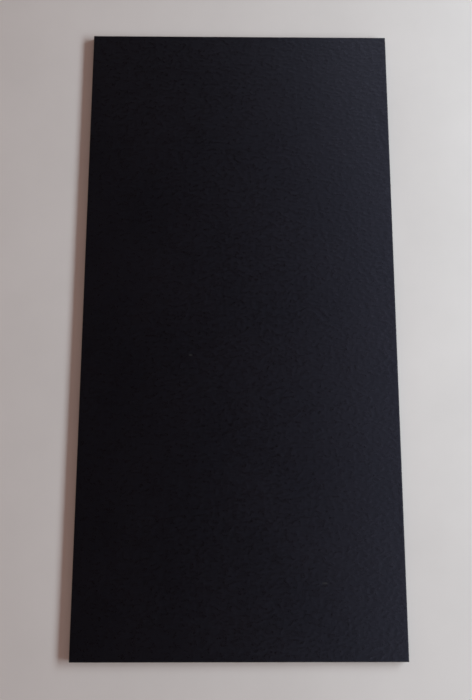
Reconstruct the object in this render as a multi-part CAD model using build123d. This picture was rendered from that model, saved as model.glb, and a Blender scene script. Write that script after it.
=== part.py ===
# A rectified porcelain floor tile of the 600 x 1200 format, lying face up.
# One pressed and fired plate: a flat face with a fine bevel, four square ground sides,
# and on the hidden back the keying relief that the bedding adhesive grips.
#
# Millimetres. The origin is below the middle of the tile, on the plane that it lies on.
# +X runs across the width, +Y along the length, +Z up through the face.

import math
import os

from build123d import *

# The plate after grinding
tile_width = 595.0
tile_length = 1195.0
tile_thickness = 10.0

# The bevel that the last grinding wheels leave around the face
bevel_width = 0.9
bevel_depth = 0.7

# The keying relief on the back: shallow pockets in a lattice of flat ribs, inside a plain band
pocket_pitch = 40.0
rib_width = 7.0
pocket_depth = 0.8
pocket_corner_cut = 3.5
pocket_draft_angle = 40.0
least_band_width = 12.0


def pockets_along(side):
    """How many pockets fit along a side between the plain bands at its two ends."""
    room = side - 2 * least_band_width + rib_width
    return math.floor(room / pocket_pitch)


def ground_plate():
    """The plate with its square sides and the bevel around its face."""
    plate = Box(
        tile_width, tile_length, tile_thickness, align=(Align.CENTER, Align.CENTER, Align.MIN)
    )
    face = plate.faces().sort_by(Axis.Z)[-1]
    return chamfer(face.edges(), length=bevel_depth, length2=bevel_width, reference=face)


def keying_pocket():
    """One pocket, open on the back's plane and narrower at its floor, so that the press lets go."""
    mouth = pocket_pitch - rib_width
    square = Rectangle(mouth, mouth)
    outline = chamfer(square.vertices(), length=pocket_corner_cut)
    return extrude(outline, amount=pocket_depth, taper=pocket_draft_angle)


def keying_pockets():
    """The whole field of pockets, centred on the back."""
    across = pockets_along(tile_width)
    along = pockets_along(tile_length)
    pocket = keying_pocket()
    return [place * pocket for place in GridLocations(pocket_pitch, pocket_pitch, across, along)]


tile = ground_plate() - keying_pockets()

os.makedirs("parts", exist_ok=True)
export_step(tile, "parts/tile.step")
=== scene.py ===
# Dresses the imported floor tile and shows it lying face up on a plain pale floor, seen from above.
# Metres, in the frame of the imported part: +X across the tile, +Y along it, +Z up out of its face.

import math
import random

import bmesh
import bpy
from mathutils import Matrix, Vector, noise


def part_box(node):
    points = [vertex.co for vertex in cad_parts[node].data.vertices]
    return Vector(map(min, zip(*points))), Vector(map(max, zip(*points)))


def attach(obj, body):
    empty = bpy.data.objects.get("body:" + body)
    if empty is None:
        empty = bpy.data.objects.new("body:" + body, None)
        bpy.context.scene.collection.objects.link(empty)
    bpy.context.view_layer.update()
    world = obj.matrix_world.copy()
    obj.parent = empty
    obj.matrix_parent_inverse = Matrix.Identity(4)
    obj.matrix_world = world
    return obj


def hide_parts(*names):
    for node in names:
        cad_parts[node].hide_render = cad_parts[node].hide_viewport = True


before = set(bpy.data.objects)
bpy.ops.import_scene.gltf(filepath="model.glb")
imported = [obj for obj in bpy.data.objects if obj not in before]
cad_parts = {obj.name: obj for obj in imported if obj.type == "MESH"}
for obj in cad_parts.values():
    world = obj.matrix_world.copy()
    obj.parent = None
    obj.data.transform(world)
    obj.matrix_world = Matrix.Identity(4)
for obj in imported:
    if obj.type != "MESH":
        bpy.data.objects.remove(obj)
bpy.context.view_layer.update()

MM = 0.001
_, top_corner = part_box("tile")
HALF_WIDTH, HALF_LENGTH, THICKNESS = top_corner

# The relief of the tile, with the sizes of the part's source
BEVEL_WIDTH = 0.9 * MM
BEVEL_DEPTH = 0.7 * MM
POCKET_PITCH = 40.0 * MM
RIB_WIDTH = 7.0 * MM
POCKET_DEPTH = 0.8 * MM
POCKET_DRAFT = math.radians(40.0)
LEAST_BAND = 12.0 * MM
POCKET_CORNER_RADIUS = 5.0 * MM

# Steps between the points of the mesh: round the outline, on a ring just inside it, and on the back
RIM_STEP = 1.25 * MM
INNER_STEP = 5.0 * MM
INNER_INSET = 2.5 * MM
BACK_STEP = 10.0 * MM

# The numbers of the piece's materials
FACE_SLOT, GROUND_SLOT, BACK_SLOT = range(3)

# The colour of the surroundings wherever the camera sees them directly
BACKDROP = (0.7, 0.69, 0.69, 1.0)


class Surface:
    """Points and faces of one closed mesh, each face with the number of its material."""

    def __init__(self):
        self.points = []
        self.faces = []
        self.slots = []

    def add(self, places):
        """Adds points and gives their numbers."""
        first = len(self.points)
        self.points.extend(places)
        return list(range(first, len(self.points)))

    def face(self, corners, slot):
        """Adds one face, with the number of its material."""
        self.faces.append(tuple(corners))
        self.slots.append(slot)

    def strip(self, one, other, slot):
        """Joins two closed rings that have as many points each."""
        for i in range(len(one)):
            self.face((one[i - 1], one[i], other[i], other[i - 1]), slot)

    def zip_rings(self, dense, sparse, slot):
        """Joins two closed rings with different numbers of points, always by the shorter diagonal."""
        nearest = min(range(len(sparse)), key=lambda k: self.gap(dense[0], sparse[k]))
        sparse = sparse[nearest:] + sparse[:nearest]
        i = j = 0
        while i < len(dense) or j < len(sparse):
            here, next_here = dense[i % len(dense)], dense[(i + 1) % len(dense)]
            there, next_there = sparse[j % len(sparse)], sparse[(j + 1) % len(sparse)]
            nearer = self.gap(next_here, there) <= self.gap(here, next_there)
            if j == len(sparse) or (i < len(dense) and nearer):
                self.face((here, next_here, there), slot)
                i += 1
            else:
                self.face((here, next_there, there), slot)
                j += 1

    def gap(self, one, other):
        """The distance between two points, given by their numbers."""
        return math.dist(self.points[one], self.points[other])

    def build(self, name, materials):
        """Makes the object: its faces turned outwards, smooth apart from its sharp edges."""
        least_sharp_angle = math.radians(35.0)
        data = bpy.data.meshes.new(name)
        data.from_pydata(self.points, [], self.faces)
        for material in materials:
            data.materials.append(material)
        for polygon, slot in zip(data.polygons, self.slots):
            polygon.material_index = slot
            polygon.use_smooth = True
        shell = bmesh.new()
        shell.from_mesh(data)
        bmesh.ops.recalc_face_normals(shell, faces=shell.faces)
        shell.to_mesh(data)
        shell.free()
        data.set_sharp_from_angle(angle=least_sharp_angle)
        piece = bpy.data.objects.new(name, data)
        bpy.context.scene.collection.objects.link(piece)
        return piece


class Lattice:
    """A flat square lattice of points, centred on the tile, whose points are made when asked for."""

    def __init__(self, surface, columns, rows, step, height):
        self.surface = surface
        self.columns = columns
        self.rows = rows
        self.start = -0.5 * step * Vector((columns, rows))
        self.step = step
        self.height = height
        self.made = {}

    def at(self, column, row):
        """The number of the point in that column and row."""
        if (column, row) not in self.made:
            x, y = self.start + self.step * Vector((column, row))
            self.made[column, row] = self.surface.add([(x, y, self.height)])[0]
        return self.made[column, row]

    def rim_of(self, column, row, columns, rows):
        """The points round a block of squares, counter-clockwise from its near left corner."""
        near = [self.at(column + i, row) for i in range(columns)]
        right = [self.at(column + columns, row + j) for j in range(rows)]
        far = [self.at(column + columns - i, row + rows) for i in range(columns)]
        left = [self.at(column, row + rows - j) for j in range(rows)]
        return near + right + far + left

    def rim(self):
        """The points round the whole lattice."""
        return self.rim_of(0, 0, self.columns, self.rows)

    def square(self, column, row, slot):
        """Fills one square of the lattice."""
        self.surface.face(self.rim_of(column, row, 1, 1), slot)


def outline(inset, step):
    """Points round the outline, that far inside it, counter-clockwise from its near left corner."""
    across, along = HALF_WIDTH - inset, HALF_LENGTH - inset
    columns, rows = round(2 * across / step), round(2 * along / step)
    near = [(-across + 2 * across * i / columns, -along) for i in range(columns)]
    right = [(across, -along + 2 * along * j / rows) for j in range(rows)]
    return near + right + [(-x, -y) for x, y in near + right]


def pulled_in(place, inset):
    """A point of the outline, moved inwards square to its side."""
    across, along = HALF_WIDTH - inset, HALF_LENGTH - inset
    return max(-across, min(across, place[0])), max(-along, min(along, place[1]))


def chipping(count, share, largest, seed):
    """How far the ground edge is broken back at each point: hardly at all, with some small chips."""
    draw = random.Random(seed)
    waver = 0.06 * largest
    noise_step = 0.31
    depths = [waver * (1.0 + noise.noise(Vector((noise_step * i, seed, 0.0)))) for i in range(count)]
    for i in range(count):
        if draw.random() < share:
            depth = largest * draw.uniform(0.3, 1.0) ** 2
            depths[i] += depth
            depths[i - 1] += depth * draw.uniform(0.1, 0.5)
    return depths


def edge_ring(surface, rim, chips, inset, height, chip_inset, chip_height):
    """One ring of points of the edge, moved where it is chipped."""
    return surface.add(
        [
            (*pulled_in(place, inset + chip_inset * chip), height + chip_height * chip)
            for place, chip in zip(rim, chips)
        ]
    )


def edge(surface):
    """The bevel, the ground sides and the back's edge. Gives the rings next to the face and back."""
    rim = outline(0.0, RIM_STEP)
    face_chips = chipping(len(rim), share=0.03, largest=0.5 * MM, seed=3)
    back_chips = chipping(len(rim), share=0.05, largest=0.8 * MM, seed=8)
    shoulder = THICKNESS - BEVEL_DEPTH
    rounding = 0.12 * MM
    # Each ring's chips, its inset and height, and how far a chip takes it inwards and upwards
    levels = [
        (face_chips, BEVEL_WIDTH + rounding, THICKNESS, 1.0, 0.0),
        (face_chips, BEVEL_WIDTH - 0.5 * rounding, THICKNESS - 0.5 * rounding, 0.8, -0.1),
        (face_chips, 0.5 * BEVEL_WIDTH, THICKNESS - 0.5 * BEVEL_DEPTH, 0.5, -0.3),
        (face_chips, 0.5 * rounding, shoulder + 0.2 * rounding, 0.1, -0.6),
        (face_chips, 0.0, shoulder - rounding, 0.0, -0.9),
        (back_chips, 0.0, rounding, 0.0, 0.6),
        (back_chips, 0.3 * rounding, 0.3 * rounding, 0.4, 0.2),
        (back_chips, rounding, 0.0, 1.0, 0.0),
    ]
    rings = [edge_ring(surface, rim, *level) for level in levels]
    for upper, lower in zip(rings, rings[1:]):
        surface.strip(upper, lower, GROUND_SLOT)
    return rings[0], rings[-1]


def pocket_counts():
    """How many pockets lie across the tile and along it, worked out as in the part's source."""
    sides = (2 * HALF_WIDTH, 2 * HALF_LENGTH)
    return [math.floor((side - 2 * LEAST_BAND + RIB_WIDTH) / POCKET_PITCH) for side in sides]


def pocket_ring(surface, centre, inset, height):
    """A ring round a pocket: a square with round corners, that far inside its mouth."""
    points_each = 5
    half = 0.5 * (POCKET_PITCH - RIB_WIDTH) - inset
    radius = POCKET_CORNER_RADIUS - inset
    places = []
    for corner in range(4):
        middle = Matrix.Rotation(math.radians(90.0 * corner - 180.0), 2) @ Vector((half - radius,) * 2)
        for k in range(points_each):
            angle = math.radians(90.0 * (corner - 2 + k / (points_each - 1)))
            spoke = radius * Vector((math.cos(angle), math.sin(angle)))
            places.append((*(centre + middle + spoke), height))
    return surface.add(places)


def pocket(surface, rim, centre):
    """One pocket of the keying relief inside the square of ribs round it, with its edges eased."""
    run = math.tan(POCKET_DRAFT)
    ease = 0.2 * MM
    # How far inside the pocket's mouth each ring lies, and how high above the back's plane
    levels = [
        (-ease, 0.0),
        (-0.1 * ease, 0.2 * ease),
        (0.8 * ease * run, 0.8 * ease),
        (0.7 * POCKET_DEPTH * run, 0.7 * POCKET_DEPTH),
        (POCKET_DEPTH * run + ease, POCKET_DEPTH),
    ]
    rings = [pocket_ring(surface, centre, inset, height) for inset, height in levels]
    surface.zip_rings(rings[0], rim, BACK_SLOT)
    for outer, inner in zip(rings, rings[1:]):
        surface.strip(outer, inner, BACK_SLOT)
    surface.face(rings[-1], BACK_SLOT)


def face_side(surface, rim):
    """The flat face, from the bevel inwards, in squares that lie over the pockets of the back."""
    inner = surface.add([(x, y, THICKNESS) for x, y in outline(INNER_INSET, INNER_STEP)])
    surface.zip_rings(rim, inner, FACE_SLOT)
    plain = Lattice(surface, *pocket_counts(), POCKET_PITCH, THICKNESS)
    surface.zip_rings(inner, plain.rim(), FACE_SLOT)
    for column in range(plain.columns):
        for row in range(plain.rows):
            plain.square(column, row, FACE_SLOT)


def back_side(surface, rim):
    """The back: a plain band, and pockets in a lattice of ribs inside it."""
    inner = surface.add([(x, y, 0.0) for x, y in outline(INNER_INSET, INNER_STEP)])
    surface.zip_rings(rim, inner, BACK_SLOT)
    across, along = pocket_counts()
    squares = round(POCKET_PITCH / BACK_STEP)
    ribs = Lattice(surface, squares * across + 2, squares * along + 2, BACK_STEP, 0.0)
    surface.zip_rings(inner, ribs.rim(), BACK_SLOT)
    for column in range(ribs.columns):
        ribs.square(column, 0, BACK_SLOT)
        ribs.square(column, ribs.rows - 1, BACK_SLOT)
    for row in range(1, ribs.rows - 1):
        ribs.square(0, row, BACK_SLOT)
        ribs.square(ribs.columns - 1, row, BACK_SLOT)
    for i in range(across):
        for j in range(along):
            centre = POCKET_PITCH * Vector((i - 0.5 * (across - 1), j - 0.5 * (along - 1)))
            cell = ribs.rim_of(1 + squares * i, 1 + squares * j, squares, squares)
            pocket(surface, cell, centre)


class Nodes:
    """Makes and links the nodes of one tree."""

    def __init__(self, tree):
        self.tree = tree

    def add(self, kind, inputs=None, **settings):
        """One node with those settings. An input is a value, or the output that feeds it."""
        made = self.tree.nodes.new(kind)
        for name, value in settings.items():
            setattr(made, name, value)
        for name, value in (inputs or {}).items():
            self.put(made.inputs[name], value)
        return made

    def put(self, socket, value):
        """Sets a socket to a value, or feeds it from an output."""
        if isinstance(value, bpy.types.NodeSocket):
            self.tree.links.new(value, socket)
        else:
            socket.default_value = value

    def remap(self, value, low, high, to_low, to_high):
        """Takes a value from one range to another, softly at both ends."""
        inputs = {
            "Value": value,
            "From Min": low,
            "From Max": high,
            "To Min": to_low,
            "To Max": to_high,
        }
        ranged = self.add("ShaderNodeMapRange", inputs, interpolation_type="SMOOTHSTEP")
        return ranged.outputs["Result"]

    def math(self, operation, one, other):
        return self.add("ShaderNodeMath", {0: one, 1: other}, operation=operation).outputs[0]

    def mix(self, share, one, other):
        inputs = {"Factor": share, "A": one, "B": other}
        return self.add("ShaderNodeMix", inputs, data_type="RGBA").outputs["Result"]


class Finish(Nodes):
    """A material under construction, whose patterns are laid out on the tile in metres."""

    def __init__(self, name):
        self.material = bpy.data.materials.new(name)
        self.material.use_nodes = True
        super().__init__(self.material.node_tree)
        self.surface = self.tree.nodes["Principled BSDF"].inputs
        self.coordinates = self.add("ShaderNodeTexCoord").outputs["Object"]

    def stretched(self, scale):
        """The place on the tile with each axis scaled by itself."""
        return self.add("ShaderNodeMapping", {"Vector": self.coordinates, "Scale": scale}).outputs[0]

    def noise(self, size, detail=2.0, place=None, roughness=0.5):
        """Soft noise whose blotches are about that size, from 0 to 1."""
        inputs = {
            "Vector": place or self.coordinates,
            "Scale": 1.0 / size,
            "Detail": detail,
            "Roughness": roughness,
        }
        return self.add("ShaderNodeTexNoise", inputs).outputs["Fac"]

    def specks(self, spacing, radius, share):
        """Scattered round specks, one in so many places of a loose lattice: 1 on a speck, 0 off it."""
        cells = self.add("ShaderNodeTexVoronoi", {"Vector": self.coordinates, "Scale": 1.0 / spacing})
        chosen = self.add("ShaderNodeSeparateColor", {"Color": cells.outputs["Color"]}).outputs[0]
        rim = radius / spacing
        near = self.remap(cells.outputs["Distance"], rim, 0.5 * rim, 0.0, 1.0)
        return self.math("MULTIPLY", near, self.math("LESS_THAN", chosen, share))

    def mark(self, place, size):
        """One soft oval mark of that size on the tile: 1 on it, 0 off it."""
        inputs = {"Vector": self.coordinates, "Location": (*place, THICKNESS), "Scale": (*size, 1.0)}
        centred = self.add("ShaderNodeMapping", inputs, vector_type="TEXTURE").outputs[0]
        reach = self.add("ShaderNodeVectorMath", {0: centred}, operation="LENGTH").outputs["Value"]
        return self.remap(reach, 0.7, 0.3, 0.0, 1.0)

    def bump(self, heights):
        """Adds heights, each (value from 0 to 1, metres from low to high), one on the other."""
        normal = None
        for value, distance in heights:
            inputs = {"Height": value, "Distance": distance}
            if normal:
                inputs["Normal"] = normal
            normal = self.add("ShaderNodeBump", inputs).outputs["Normal"]
        self.put(self.surface["Normal"], normal)


def grey(level, tint=(1.0, 1.0, 1.0)):
    """A grey of that lightness, slightly coloured by the tint."""
    return (level * tint[0], level * tint[1], level * tint[2], 1.0)


def fired_face():
    """The satin face: nearly black, with a fine grain, pale pinhead specks that are lighter grains of
    the body and also painted glints, and two small pale marks.
    """
    finish = Finish("fired_face")
    cloud = finish.noise(0.16, detail=4.0)
    swell = finish.noise(0.04, detail=2.0)
    grain = finish.noise(6.0 * MM, detail=0.4, place=finish.stretched((0.72, 1.2, 1.0)))
    peel = finish.noise(1.8 * MM, detail=1.0, roughness=0.6)
    grit = finish.noise(0.7 * MM, detail=3.0, roughness=0.6)

    clouded = finish.remap(cloud, 0.3, 0.7, 0.0, 0.35)
    grained = finish.math("ADD", clouded, finish.remap(grain, 0.3, 0.7, 0.0, 0.36))
    gritty = finish.math("ADD", grained, finish.remap(grit, 0.35, 0.65, 0.0, 0.3))
    violet = (1.3, 1.0, 1.27)
    body = finish.mix(gritty, grey(0.0022, violet), grey(0.0048, violet))
    # Pale pinhead specks: lighter grains of the body, painted lighter as well to stand in for tiny
    # glints of the face
    pale = grey(0.02)
    specks = finish.specks(spacing=2.4 * MM, radius=0.4 * MM, share=0.08)
    with_specks_and_glints = finish.mix(specks, body, pale)
    dot = finish.mark((-0.092, -0.0575), (6.0 * MM, 3.5 * MM))
    dash = finish.mark((0.1523, -0.466), (10.0 * MM, 3.5 * MM))
    marks = finish.math("MAXIMUM", dot, dash)
    finish.put(finish.surface["Base Color"], finish.mix(marks, with_specks_and_glints, pale))

    dulled = finish.remap(grain, 0.3, 0.7, 0.405, 0.315)
    uneven = finish.math("ADD", dulled, finish.remap(peel, 0.3, 0.7, -0.03, 0.05))
    pitted = finish.math("ADD", uneven, finish.remap(grit, 0.35, 0.65, -0.05, 0.05))
    finish.put(finish.surface["Roughness"], pitted)
    finish.surface["Specular IOR Level"].default_value = 0.68
    finish.surface["Specular Tint"].default_value = (0.72, 0.74, 1.0, 1.0)
    finish.bump([(swell, 0.1 * MM), (grain, 0.32 * MM), (peel, 0.09 * MM), (grit, 0.08 * MM)])
    return finish.material


def ground_clay():
    """The sides and the bevel: the face's clay, left dull by the wheels that ran along the edge."""
    finish = Finish("ground_clay")
    lines = finish.noise(1.0, detail=3.0, place=finish.stretched((90.0, 90.0, 3200.0)), roughness=0.7)
    grain = finish.noise(0.7 * MM, detail=2.0)
    grained = finish.remap(grain, 0.3, 0.7, 0.0, 1.0)
    clay = finish.mix(grained, grey(0.019), grey(0.031, (1.0, 0.98, 1.0)))
    cut = finish.mix(finish.remap(lines, 0.45, 0.75, 0.0, 0.6), clay, grey(0.06))
    finish.put(finish.surface["Base Color"], cut)
    finish.put(finish.surface["Roughness"], finish.remap(lines, 0.3, 0.7, 0.55, 0.75))
    finish.bump([(lines, 0.015 * MM), (grain, 0.012 * MM)])
    return finish.material


def pressed_back():
    """The unglazed back: dull dark clay, with the pale wash of the kiln rollers left on its ribs."""
    finish = Finish("pressed_back")
    height = finish.add("ShaderNodeSeparateXYZ", {"Vector": finish.coordinates}).outputs["Z"]
    rib = finish.remap(height, 0.1 * POCKET_DEPTH, 0.9 * POCKET_DEPTH, 1.0, 0.15)
    grit = finish.noise(1.3 * MM, detail=3.0, roughness=0.6)
    patches = finish.noise(0.07, detail=5.0, roughness=0.6)
    gritty = finish.remap(grit, 0.3, 0.7, 0.0, 1.0)
    clay = finish.mix(gritty, grey(0.022), grey(0.05, (1.0, 0.96, 0.92)))
    dusted = finish.math("MULTIPLY", finish.remap(patches, 0.35, 0.65, 0.1, 0.75), rib)
    broken = finish.math("MULTIPLY", dusted, finish.remap(grit, 0.35, 0.6, 0.3, 1.0))
    wash = grey(0.32, (1.0, 0.97, 0.91))
    finish.put(finish.surface["Base Color"], finish.mix(broken, clay, wash))
    finish.put(finish.surface["Roughness"], finish.remap(grit, 0.3, 0.7, 0.8, 0.92))
    finish.bump([(grit, 0.12 * MM)])
    return finish.material


def floor_finish():
    """A plain pale matt floor, hardly varied, that passes into the backdrop away from the tile."""
    finish = Finish("pale_floor")
    patches = finish.noise(0.25, detail=5.0, roughness=0.6)
    pale = finish.mix(patches, grey(0.56), grey(0.66))
    finish.put(finish.surface["Base Color"], pale)
    finish.surface["Roughness"].default_value = 0.7
    oval = {0: finish.stretched((1.33, 0.83, 0.0))}
    reach = finish.add("ShaderNodeVectorMath", oval, operation="LENGTH").outputs["Value"]
    away = finish.remap(reach, 1.05, 1.5, 0.0, 1.0)
    seen = finish.add("ShaderNodeLightPath").outputs["Is Camera Ray"]
    backdrop = finish.add("ShaderNodeEmission", {"Color": BACKDROP})
    lit = finish.tree.nodes["Principled BSDF"].outputs[0]
    passing = {0: finish.math("MULTIPLY", away, seen), 1: lit, 2: backdrop.outputs[0]}
    shader = finish.add("ShaderNodeMixShader", passing).outputs[0]
    finish.put(finish.tree.nodes["Material Output"].inputs["Surface"], shader)
    return finish.material


def tile():
    """The tile as one closed mesh with three finishes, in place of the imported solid."""
    surface = Surface()
    face_rim, back_rim = edge(surface)
    face_side(surface, face_rim)
    back_side(surface, back_rim)
    piece = surface.build("tile_body", [fired_face(), ground_clay(), pressed_back()])
    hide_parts("tile")
    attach(piece, "root")


def corners_of(half_width, half_length):
    """The corners of a flat oblong on the ground, counter-clockwise."""
    near = [(-half_width, -half_length, 0.0), (half_width, -half_length, 0.0)]
    return near + [(-x, -y, z) for x, y, z in near]


def floor():
    """The level floor, open where the tile hides it, so that light from below reaches the back."""
    half = 6.0
    lap = 1.5 * MM
    corners = corners_of(half, half) + corners_of(HALF_WIDTH - lap, HALF_LENGTH - lap)
    round_the_tile = [(i, (i + 1) % 4, (i + 1) % 4 + 4, i + 4) for i in range(4)]
    data = bpy.data.meshes.new("floor")
    data.from_pydata(corners, [], round_the_tile)
    data.materials.append(floor_finish())
    plane = bpy.data.objects.new("floor", data)
    bpy.context.scene.collection.objects.link(plane)


def window_light():
    """One wide soft lamp standing beside the tile, low over the floor, like a window to the right."""
    azimuth = math.radians(6.0)
    distance = 2.494
    sill, head = 0.78, 1.29
    lamp = bpy.data.lights.new("window", "AREA")
    lamp.shape = "RECTANGLE"
    lamp.size = 3.33
    lamp.size_y = head - sill
    lamp.energy = 161.0
    lamp.color = (0.87, 0.96, 1.0)
    holder = bpy.data.objects.new("window", lamp)
    across = Vector((math.cos(azimuth), math.sin(azimuth), 0.0))
    holder.location = distance * across + Vector((0.0, 0.0, 0.5 * (sill + head)))
    holder.rotation_euler = (-across).to_track_quat("-Z", "Y").to_euler()
    holder.visible_glossy = False
    bpy.context.scene.collection.objects.link(holder)


def room():
    """A warm fill, plain light from below and a pale backdrop. Gloss mirrors a wall to the right."""
    world = bpy.data.worlds.new("room")
    world.use_nodes = True
    nodes = Nodes(world.node_tree)
    direction = nodes.add("ShaderNodeTexCoord").outputs["Generated"]
    upwards = nodes.add("ShaderNodeSeparateXYZ", {"Vector": direction}).outputs["Z"]

    # The mirrored wall begins about 20 degrees to the right of straight up and fades out towards the
    # floor. The rest of the room is black overhead and grey low down
    wall_colour = (0.92, 1.0, 1.1, 1.0)
    into_the_wall = (0.86, 0.04, -0.51)
    aslant = {0: direction, 1: into_the_wall}
    rightwards = nodes.add("ShaderNodeVectorMath", aslant, operation="DOT_PRODUCT").outputs["Value"]
    beside = nodes.remap(rightwards, -0.207, -0.157, 0.0, 1.0)
    raised = nodes.remap(upwards, 0.2, 0.6, 0.0, 1.0)
    wall = nodes.math("MULTIPLY", beside, raised)
    dark = nodes.remap(upwards, 0.05, 0.55, 0.42, 0.0)
    around = nodes.mix(wall, dark, wall_colour)

    warm_fill = (0.303, 0.197, 0.167, 1.0)
    light_from_below = grey(0.75)
    under = nodes.remap(upwards, -0.05, -0.2, 0.0, 1.0)
    diffuse = nodes.mix(under, warm_fill, light_from_below)

    fill = nodes.add("ShaderNodeBackground", {"Color": diffuse})
    mirrored = nodes.add("ShaderNodeBackground", {"Color": around})
    seen = nodes.add("ShaderNodeBackground", {"Color": BACKDROP})
    path = nodes.add("ShaderNodeLightPath").outputs
    for_light = {0: path["Is Glossy Ray"], 1: fill.outputs[0], 2: mirrored.outputs[0]}
    lit = nodes.add("ShaderNodeMixShader", for_light)
    for_view = {0: path["Is Camera Ray"], 1: lit.outputs[0], 2: seen.outputs[0]}
    shown = nodes.add("ShaderNodeMixShader", for_view)
    nodes.put(world.node_tree.nodes["World Output"].inputs["Surface"], shown.outputs[0])
    bpy.context.scene.world = world


def camera():
    """The photograph's view, from above the near half of the tile: solved from its four corners."""
    frame_height_px = 700.0
    focal_length_px = 490.0
    film_height = 36.0
    lens = bpy.data.cameras.new("camera")
    lens.sensor_fit = "VERTICAL"
    lens.sensor_height = film_height
    lens.lens = film_height * focal_length_px / frame_height_px
    holder = bpy.data.objects.new("camera", lens)
    holder.location = (-0.01269, -0.16099, 0.92553)
    holder.rotation_euler = (math.radians(7.047), math.radians(-0.381), math.radians(0.091))
    bpy.context.scene.collection.objects.link(holder)
    bpy.context.scene.camera = holder


tile()
floor()
window_light()
room()
camera()
bpy.context.scene.view_settings.view_transform = "Standard"
